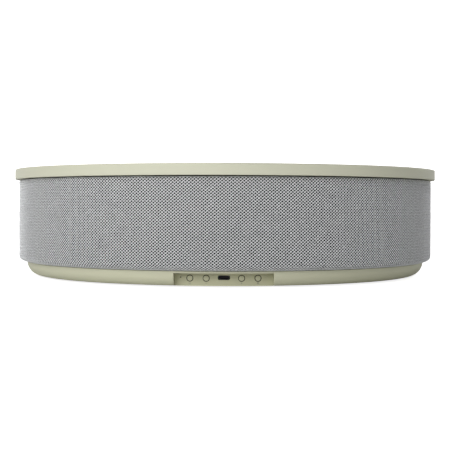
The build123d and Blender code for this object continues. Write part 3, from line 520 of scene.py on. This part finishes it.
# ---- Materials -----------------------------------------------------------------------------------
GAP_SHADE_BLACK = (0.012, 0.012, 0.011, 1.0)
BASE_TINT = (1.07, 1.07, 1.01)
PANEL_TINT = (0.92, 0.91, 0.80)
BUTTON_TINT = (0.97, 0.96, 0.86)
GAP_SHADE_START = 0.3 * MM
GAP_SHADE_FULL = 0.6 * MM
SHELL_CLOUDS = 9.0
SHELL_DARK = 0.975
SHELL_PALE = 1.02
SHELL_SPECK = 0.955
SHELL_SWING = 0.04
SHELL_GRAIN_STRENGTH = 0.35
SHELL_RELIEF = 0.03 * MM
SHELL_SPECULAR = 0.4
FLECK_SIZE = 1.1 * MM
FIBRE_SIZE = 0.16 * MM
FLECK_SHADE = 0.88
FIBRE_SHADE = 1.25
FIBRE_STRENGTH = 0.7
FIBRE_RELIEF = 0.06 * MM
YARN_SHEEN = 0.08
YARN_SHEEN_ROUGHNESS = 0.4
# Painted light and shade per strand family: the left-leaning strands are brightened, the right-leaning
# ones darkened.
FAMILY_LIGHT_AND_SHADE = {"right": 0.92, "left": 1.03}
# Painted shade seen through the cloth's holes.
SCRIM_SHADE_BLACK = (0.015, 0.015, 0.017)
MARK_INK = (0.27, 0.27, 0.20)


def distance_from_axis(tree, place):
    """How far a point lies from the speaker's upright axis."""
    node = tree.nodes.new("ShaderNodeVectorMath")
    node.operation = "LENGTH"
    link(tree, vector_calc(tree, "MULTIPLY", place, (1.0, 1.0, 0.0)), node.inputs[0])
    return node.outputs["Value"]


def sage_plastic(name, tint=(1.0, 1.0, 1.0), face=None):
    """Matte moulded plastic with a fine grain and a faint cloudiness in its gloss.

    face is the radius of the panel's curved face, where one is given: behind it the colour fades to
    black, as painted shade that makes holes and gaps look deep."""
    shell = bpy.context.scene.speaker_shell
    material, tree, shader, place = new_material(name)
    cloud = noise(tree, place, SHELL_CLOUDS, 3.0)
    speck = noise(tree, place, 1 / shell.grain, 2.0)
    colour = tuple(part * share for part, share in zip(shell.sage, tint))
    mixed = blend_colours(tree, cloud, shade(colour, SHELL_DARK), shade(colour, SHELL_PALE))
    specks = spread(tree, speck, 0.35, 0.65, 0.0, 0.35)
    mixed = blend_colours(tree, specks, mixed, shade(colour, SHELL_SPECK))
    # Painted shade: behind the panel's face the colour fades to black, standing for the shade deep in
    # holes and gaps.
    if face is not None:
        reach = distance_from_axis(tree, place)
        depth = spread(tree, reach, face - GAP_SHADE_FULL, face - GAP_SHADE_START, 1.0, 0.0)
        mixed = blend_colours(tree, depth, mixed, GAP_SHADE_BLACK)
    link(tree, mixed, shader.inputs["Base Color"])
    rough = shell.roughness
    gloss = spread(tree, cloud, NOISE_LOW, NOISE_HIGH, rough - SHELL_SWING, rough + SHELL_SWING)
    link(tree, gloss, shader.inputs["Roughness"])
    link(tree, bump(tree, speck, SHELL_GRAIN_STRENGTH, SHELL_RELIEF), shader.inputs["Normal"])
    shader.inputs["Specular IOR Level"].default_value = SHELL_SPECULAR
    return material


def yarn(name, shift):
    """Twisted polyester yarn: pale crowns, painted shade where it dips, flecks and fine fibre.

    shift multiplies the brightness of both yarn colours: painted light and shade per strand family."""
    cloth = bpy.context.scene.speaker_cloth
    material, tree, shader, place = new_material(name)
    lift = tree.nodes.new("ShaderNodeAttribute")
    lift.attribute_name = "lift"
    # Painted shade: dark colour where the yarn dips under the other family, light colour on its crowns.
    crown = spread(tree, lift.outputs["Fac"], -1.0, 0.8, 0.0, 1.0)
    fleck = noise(tree, place, 1 / FLECK_SIZE, 2.0)
    fibre = noise(tree, place, 1 / FIBRE_SIZE, 3.0)
    light = shade(cloth.light, shift)
    dark = shade(cloth.dark, shift)
    mixed = blend_colours(tree, crown, dark, light)
    flecks = spread(tree, fleck, 0.42, 0.62, 0.0, 0.4)
    mixed = blend_colours(tree, flecks, mixed, shade(dark, FLECK_SHADE))
    fibres = spread(tree, fibre, 0.55, 0.75, 0.0, 0.3)
    mixed = blend_colours(tree, fibres, mixed, shade(light, FIBRE_SHADE))
    link(tree, mixed, shader.inputs["Base Color"])
    link(tree, spread(tree, fleck, NOISE_LOW, NOISE_HIGH, 0.62, 0.8), shader.inputs["Roughness"])
    link(tree, bump(tree, fibre, FIBRE_STRENGTH, FIBRE_RELIEF), shader.inputs["Normal"])
    shader.inputs["Sheen Weight"].default_value = YARN_SHEEN
    shader.inputs["Sheen Roughness"].default_value = YARN_SHEEN_ROUGHNESS
    return material


def inside_finishes():
    """The finishes of the pieces inside, by material slot of the record."""
    return {
        "black_plastic": mottled(
            "black_moulding", (0.022, 0.022, 0.024),
            contrast=0.15, patch=0.02, roughness=0.62, swing=0.06, grain=0.3 * MM, relief=0.03 * MM,
        ),
        "foot_rubber": mottled(
            "foot_rubber", (0.045, 0.045, 0.046),
            contrast=0.2, patch=0.006, roughness=0.82, swing=0.06, grain=0.25 * MM, relief=0.05 * MM,
        ),
        "gasket_rubber": mottled(
            "gasket_foam", (0.03, 0.03, 0.03),
            contrast=0.25, patch=0.002, roughness=0.92, swing=0.04, grain=0.4 * MM, relief=0.12 * MM,
        ),
        "surround_rubber": mottled(
            "surround_rubber", (0.02, 0.02, 0.021),
            contrast=0.15, patch=0.01, roughness=0.5, swing=0.08, grain=0.5 * MM, relief=0.02 * MM,
        ),
        "socket_steel": mottled(
            "socket_steel", (0.10, 0.10, 0.105), metallic=1.0,
            contrast=0.1, patch=0.003, roughness=0.34, swing=0.08, grain=0.1 * MM, relief=0.01 * MM,
        ),
        "motor_steel": mottled(
            "zinc_steel", (0.55, 0.55, 0.54), metallic=1.0,
            contrast=0.12, patch=0.004, roughness=0.38, swing=0.1, grain=0.3 * MM, relief=0.02 * MM,
        ),
        "screw_steel": mottled(
            "blackened_steel", (0.16, 0.16, 0.165), metallic=1.0,
            contrast=0.2, patch=0.001, roughness=0.42, swing=0.1, grain=0.1 * MM, relief=0.01 * MM,
        ),
        "ferrite": mottled(
            "ferrite", (0.05, 0.05, 0.052),
            contrast=0.25, patch=0.003, roughness=0.7, swing=0.08, grain=0.2 * MM, relief=0.05 * MM,
        ),
        "cone_paper": mottled(
            "pulp_cone", (0.05, 0.05, 0.054),
            contrast=0.3, patch=0.002, roughness=0.86, swing=0.05, grain=0.5 * MM, relief=0.1 * MM,
        ),
        "spider_cloth": mottled(
            "spider_cloth", (0.42, 0.29, 0.11),
            contrast=0.15, patch=0.004, roughness=0.8, swing=0.08, grain=0.4 * MM, relief=0.12 * MM,
        ),
        "coil_copper": mottled(
            "coil_copper", (0.72, 0.40, 0.22), metallic=1.0,
            contrast=0.12, patch=0.002, roughness=0.35, swing=0.06, grain=0.2 * MM, relief=0.03 * MM,
        ),
        "board_green": mottled(
            "solder_mask", (0.02, 0.11, 0.05),
            contrast=0.3, patch=0.004, roughness=0.4, swing=0.06, grain=0.6 * MM, relief=0.02 * MM,
        ),
        "heat_sink_aluminium": mottled(
            "aluminium", (0.6, 0.6, 0.61), metallic=1.0,
            contrast=0.08, patch=0.004, roughness=0.4, swing=0.08, grain=0.2 * MM, relief=0.02 * MM,
        ),
        "battery_wrap": mottled(
            "battery_wrap", (0.05, 0.065, 0.1),
            contrast=0.12, patch=0.02, roughness=0.3, swing=0.08, grain=1.5 * MM, relief=0.05 * MM,
        ),
        "lead_wrap": mottled(
            "lead_wrap", (0.03, 0.03, 0.03),
            contrast=0.15, patch=0.004, roughness=0.5, swing=0.06, grain=0.5 * MM, relief=0.02 * MM,
        ),
        "switch_plastic": mottled(
            "switch_plastic", (0.04, 0.04, 0.04),
            contrast=0.15, patch=0.002, roughness=0.5, swing=0.06, grain=0.2 * MM, relief=0.02 * MM,
        ),
        "clear_plastic": mottled(
            "smoked_light_pipe", (0.03, 0.03, 0.03),
            contrast=0.1, patch=0.002, roughness=0.2, swing=0.04, grain=0.2 * MM, relief=0.005 * MM,
        ),
    }


# ---- Marks under the buttons ---------------------------------------------------------------------
MARK_SIZE = 1.5 * MM
MARK_STROKE = 0.26 * MM
MARK_RELIEF = 0.04 * MM
MARK_DROP = 4.0 * MM
RING_STEPS = 28
BAR_STEPS = 4
POWER_GAP = 40
WHOLE_TURN = 360


def bar(half_width, half_height, z=0.0):
    """A straight stroke, centred at the height z, as a strip of cross lines, each a pair of points."""
    strip = []
    for i in range(BAR_STEPS + 1):
        across = 2 * half_width * i / BAR_STEPS - half_width
        strip.append(((across, z - half_height), (across, z + half_height)))
    return strip, False


def arc(radius, start, end):
    """A round stroke between two angles from the top, in degrees. A whole turn closes on itself."""
    whole = end - start >= WHOLE_TURN
    steps = RING_STEPS if whole else RING_STEPS + 1
    strip = []
    for i in range(steps):
        turn = math.radians(start + (end - start) * i / RING_STEPS)
        inner, outer = radius - MARK_STROKE / 2, radius + MARK_STROKE / 2
        pair = [(size * math.sin(turn), size * math.cos(turn)) for size in (inner, outer)]
        strip.append(tuple(pair))
    return strip, whole


def mark_strokes():
    """The strokes of each button's mark: power, minus, plus, and two rings for pairing."""
    half = MARK_SIZE / 2
    thin = MARK_STROKE / 2
    short = half * 0.45
    arm = (half - thin) / 2
    arm_centre = (half + thin) / 2
    return {
        "power_button": [arc(half, POWER_GAP, WHOLE_TURN - POWER_GAP), bar(thin, short, half * 0.75)],
        "volume_down_button": [bar(half, thin)],
        "volume_up_button": [bar(half, thin), bar(thin, arm, arm_centre), bar(thin, arm, -arm_centre)],
        "pairing_button": [arc(half, 0, WHOLE_TURN), arc(short, 0, WHOLE_TURN)],
    }


def print_stroke(mesh, strip, closed, place, radius):
    """Lays one stroke on the curved panel as a thin closed body."""
    rows = []
    for pair in strip:
        row = []
        for depth in (0.0, MARK_RELIEF):
            for x, z in pair:
                across = place.x + x
                out = math.sqrt((radius + depth) ** 2 - across**2)
                row.append(mesh.verts.new((across, -out, place.z + z)))
        rows.append((row[0], row[1], row[3], row[2]))
    count = len(rows)
    for i in range(count if closed else count - 1):
        here, after = rows[i], rows[(i + 1) % count]
        for k in range(4):
            mesh.faces.new((here[k], here[(k + 1) % 4], after[(k + 1) % 4], after[k]))
    if not closed:
        mesh.faces.new(rows[0])
        mesh.faces.new(rows[-1])


# ---- Operators -----------------------------------------------------------------------------------
class SPEAKER_OT_finish_shell(bpy.types.Operator):
    """Finish the lid, the base and the control panel in sage plastic"""

    bl_idname = "speaker.finish_shell"
    bl_label = "Finish shell"

    def execute(self, context):
        finish("top_lid", sage_plastic("lid_plastic"))
        finish("base_housing", sage_plastic("base_plastic", BASE_TINT))
        # The panel's holes and gaps get painted shade, fading to black behind its face.
        finish("control_panel", sage_plastic("panel_plastic", PANEL_TINT, PANEL_RADIUS))
        return {"FINISHED"}


class SPEAKER_OT_finish_controls(bpy.types.Operator):
    """Finish the four round buttons"""

    bl_idname = "speaker.finish_controls"
    bl_label = "Finish controls"

    def execute(self, context):
        # The caps' sides get painted shade, fading to black behind the panel's face.
        caps = sage_plastic("button_plastic", BUTTON_TINT, PANEL_RADIUS)
        for node in BUTTONS:
            finish(node, caps)
        return {"FINISHED"}


class SPEAKER_OT_print_marks(bpy.types.Operator):
    """Print a small plain mark under each button"""

    bl_idname = "speaker.print_marks"
    bl_label = "Print marks"

    def execute(self, context):
        mesh = bmesh.new()
        for button, strokes in mark_strokes().items():
            low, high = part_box(button)
            place = Vector(((low.x + high.x) / 2, 0.0, (low.z + high.z) / 2 - MARK_DROP))
            for strip, closed in strokes:
                print_stroke(mesh, strip, closed, place, PANEL_RADIUS)
        bmesh.ops.recalc_face_normals(mesh, faces=mesh.faces)
        data = bpy.data.meshes.new("button_marks")
        mesh.to_mesh(data)
        mesh.free()
        ink = mottled(
            "mark_ink", MARK_INK,
            contrast=0.12, patch=0.6 * MM, roughness=0.6, swing=0.05, grain=0.1 * MM, relief=0.01 * MM,
        )
        data.materials.append(ink)
        marks = bpy.data.objects.new("button_marks", data)
        context.scene.collection.objects.link(marks)
        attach(marks, "speaker")
        return {"FINISHED"}


class SPEAKER_OT_finish_inside(bpy.types.Operator):
    """Finish every other CAD piece by its material slot"""

    bl_idname = "speaker.finish_inside"
    bl_label = "Finish inside"

    def execute(self, context):
        finishes = inside_finishes()
        for part in frame["record"]["subparts"]:
            if part["material_slot"] in finishes:
                finish(part["node"], finishes[part["material_slot"]])
        return {"FINISHED"}


class SPEAKER_OT_weave_cloth(bpy.types.Operator):
    """Weave the grille cloth from two leaning strand families over a black sheet of painted shade"""

    bl_idname = "speaker.weave_cloth"
    bl_label = "Weave cloth"

    def execute(self, context):
        cloth = context.scene.speaker_cloth
        lift = cloth.thickness / 2
        middle = cloth_profile(lift * 2)
        rows = round(length_of(middle) / cloth.row_height)
        curve = profile_curve("cloth_section", middle)
        tree = weave_tree()
        half = cloth.strands // 2
        strands = []
        for family, lean in (("right", 1.0), ("left", -1.0)):
            material = yarn("yarn_" + family, FAMILY_LIGHT_AND_SHADE[family])
            for part, first, made in (("a", 0, half), ("b", half, cloth.strands - half)):
                values = {
                    "Profile": curve,
                    "Rows": rows,
                    "Points in a row": 1,
                    "First strand": first,
                    "Strands made": made,
                    "Strands round": cloth.strands,
                    "Lean": lean,
                    "Phase": 0.0 if family == "right" else 1.0,
                    "Lift": lift,
                    "Width": cloth.width,
                    "Thickness": cloth.thickness,
                    "Sides": cloth.sides,
                    "Material": material,
                }
                strands.append(grown(f"cloth_strands_{family}_{part}", tree, values))
        bpy.data.objects.remove(curve)
        # Painted shade: a near-black sheet behind the strands stands for the shaded inside seen through
        # the holes.
        black = mottled(
            "shade_scrim", SCRIM_SHADE_BLACK,
            contrast=0.3, patch=0.002, roughness=0.9, swing=0.05, grain=0.3 * MM, relief=0.05 * MM,
        )
        face = cloth_profile(SCRIM_FACE)
        shade_scrim = turned_sheet("cloth_scrim", face, cloth_profile(SCRIM_BACK), SCRIM_SEGMENTS, black)
        for piece in [shade_scrim, *strands]:
            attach(piece, "speaker")
        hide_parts("grille_cloth")
        return {"FINISHED"}


# ---- Stage ---------------------------------------------------------------------------------------
SENSOR_WIDTH = 36.0
LIGHT_COLOUR = (1.0, 1.0, 0.99)
WHITE = (1.0, 1.0, 1.0, 1.0)
FLOOR_RADIUS = 12.0
FLOOR_SEGMENTS = 96
FLOOR_DARK = (0.76, 0.76, 0.76, 1)
FLOOR_PALE = (0.80, 0.80, 0.80, 1)
FLOOR_GLOW = 0.85
ROOM_DIM_UP_TO = 0.42
ROOM_BRIGHT_FROM = 0.72
ROOM_BEYOND = 1.7


class SPEAKER_OT_set_stage(bpy.types.Operator):
    """Set the pale floor, the soft lights, the white room and the camera"""

    bl_idname = "speaker.set_stage"
    bl_label = "Set stage"

    def execute(self, context):
        stage = context.scene.speaker_stage
        scene = context.scene
        scene.view_settings.view_transform = "Standard"
        lay_floor()
        white_room(stage.ambient)
        place_light("key", bearing=-20.0, elevation=28.0, distance=1.6, size=(1.1, 1.1), power=stage.key)
        place_light(
            "low_fill",
            bearing=-58.0, elevation=3.0, distance=1.3, size=(0.8, 0.12), power=stage.fill,
        )
        data = bpy.data.cameras.new("camera")
        data.lens = stage.lens
        data.sensor_width = SENSOR_WIDTH
        camera = bpy.data.objects.new("camera", data)
        aside = stage.distance * math.sin(stage.bearing)
        back = stage.distance * math.cos(stage.bearing)
        camera.location = (aside, -back, stage.height)
        aim = Euler((HALF_TURN / 2 - stage.pitch, 0.0, stage.bearing)).to_matrix()
        camera.rotation_euler = (aim @ Matrix.Rotation(stage.roll, 3, "Z")).to_euler()
        scene.collection.objects.link(camera)
        scene.camera = camera
        return {"FINISHED"}


def seen_directly(tree):
    """1 for what the camera sees directly, 0 for what lights the speaker."""
    return tree.nodes.new("ShaderNodeLightPath").outputs["Is Camera Ray"]


def lay_floor():
    """A wide pale floor on which the speaker stands. It looks brighter than the light it throws back."""
    mesh = bmesh.new()
    bmesh.ops.create_circle(mesh, cap_ends=True, radius=FLOOR_RADIUS, segments=FLOOR_SEGMENTS)
    data = bpy.data.meshes.new("floor")
    mesh.to_mesh(data)
    mesh.free()
    material, tree, shader, place = new_material("floor_paint")
    cloud = noise(tree, place, 0.8, 2.0)
    link(tree, blend_colours(tree, cloud, FLOOR_DARK, FLOOR_PALE), shader.inputs["Base Color"])
    shader.inputs["Roughness"].default_value = 0.9
    shader.inputs["Emission Color"].default_value = WHITE
    glow = calc(tree, "MULTIPLY", seen_directly(tree), FLOOR_GLOW)
    link(tree, glow, shader.inputs["Emission Strength"])
    data.materials.append(material)
    floor = bpy.data.objects.new("floor", data)
    bpy.context.scene.collection.objects.link(floor)


def white_room(ambient):
    """A room that is brightest beyond the speaker, dimmer elsewhere, and looks white all round."""
    world = bpy.data.worlds.new("white_room")
    world.use_nodes = True
    tree = world.node_tree
    back = tree.nodes["Background"]
    direction = tree.nodes.new("ShaderNodeSeparateXYZ")
    link(tree, tree.nodes.new("ShaderNodeTexCoord").outputs["Generated"], direction.inputs["Vector"])
    beyond = direction.outputs["Y"]
    strength = spread(tree, beyond, ROOM_DIM_UP_TO, ROOM_BRIGHT_FROM, ambient, ROOM_BEYOND)
    strength = calc(tree, "MAXIMUM", strength, seen_directly(tree))
    back.inputs["Color"].default_value = WHITE
    link(tree, strength, back.inputs["Strength"])
    bpy.context.scene.world = world


def place_light(name, bearing, elevation, distance, size, power):
    """A soft rectangular light that faces the speaker.

    Bearing and elevation are in degrees. Bearing 0 is straight behind the speaker, positive to the
    right as seen from there."""
    data = bpy.data.lights.new(name, "AREA")
    data.shape = "RECTANGLE"
    data.size, data.size_y = size
    data.energy = power
    data.color = LIGHT_COLOUR
    light = bpy.data.objects.new(name, data)
    turn = math.radians(bearing)
    rise = math.radians(elevation)
    level = distance * math.cos(rise)
    light.location = (level * math.sin(turn), -level * math.cos(turn), distance * math.sin(rise))
    target = Vector((0.0, 0.0, LID_HIGH.z / 2))
    light.rotation_euler = (target - light.location).to_track_quat("-Z", "Y").to_euler()
    bpy.context.scene.collection.objects.link(light)


# ---- Sidebar and start ---------------------------------------------------------------------------
class SPEAKER_PT_panel(bpy.types.Panel):
    """Settings and steps of the speaker, in the sidebar"""

    bl_idname = "SPEAKER_PT_panel"
    bl_label = "Round Smart Speaker"
    bl_space_type = "VIEW_3D"
    bl_region_type = "UI"
    bl_category = "Speaker"

    def draw(self, context):
        scene = context.scene
        for settings in (scene.speaker_cloth, scene.speaker_shell, scene.speaker_stage):
            box = self.layout.box()
            for name in settings.bl_rna.properties.keys():
                if name not in ("rna_type", "name"):
                    box.prop(settings, name)
        for step in STEPS:
            self.layout.operator(step.bl_idname)


STEPS = (
    SPEAKER_OT_finish_shell,
    SPEAKER_OT_finish_controls,
    SPEAKER_OT_print_marks,
    SPEAKER_OT_finish_inside,
    SPEAKER_OT_weave_cloth,
    SPEAKER_OT_set_stage,
)
SETTINGS = (
    ("speaker_cloth", SpeakerClothSettings),
    ("speaker_shell", SpeakerShellSettings),
    ("speaker_stage", SpeakerStageSettings),
)


def register():
    for name, settings in SETTINGS:
        bpy.utils.register_class(settings)
        setattr(bpy.types.Scene, name, bpy.props.PointerProperty(type=settings))
    for step in STEPS:
        bpy.utils.register_class(step)
    bpy.utils.register_class(SPEAKER_PT_panel)


def unregister():
    bpy.utils.unregister_class(SPEAKER_PT_panel)
    for step in reversed(STEPS):
        bpy.utils.unregister_class(step)
    for name, settings in reversed(SETTINGS):
        delattr(bpy.types.Scene, name)
        bpy.utils.unregister_class(settings)


def main():
    register()
    bpy.ops.speaker.finish_shell()
    bpy.ops.speaker.finish_controls()
    bpy.ops.speaker.print_marks()
    bpy.ops.speaker.finish_inside()
    bpy.ops.speaker.weave_cloth()
    bpy.ops.speaker.set_stage()


if __name__ == "__main__":
    main()
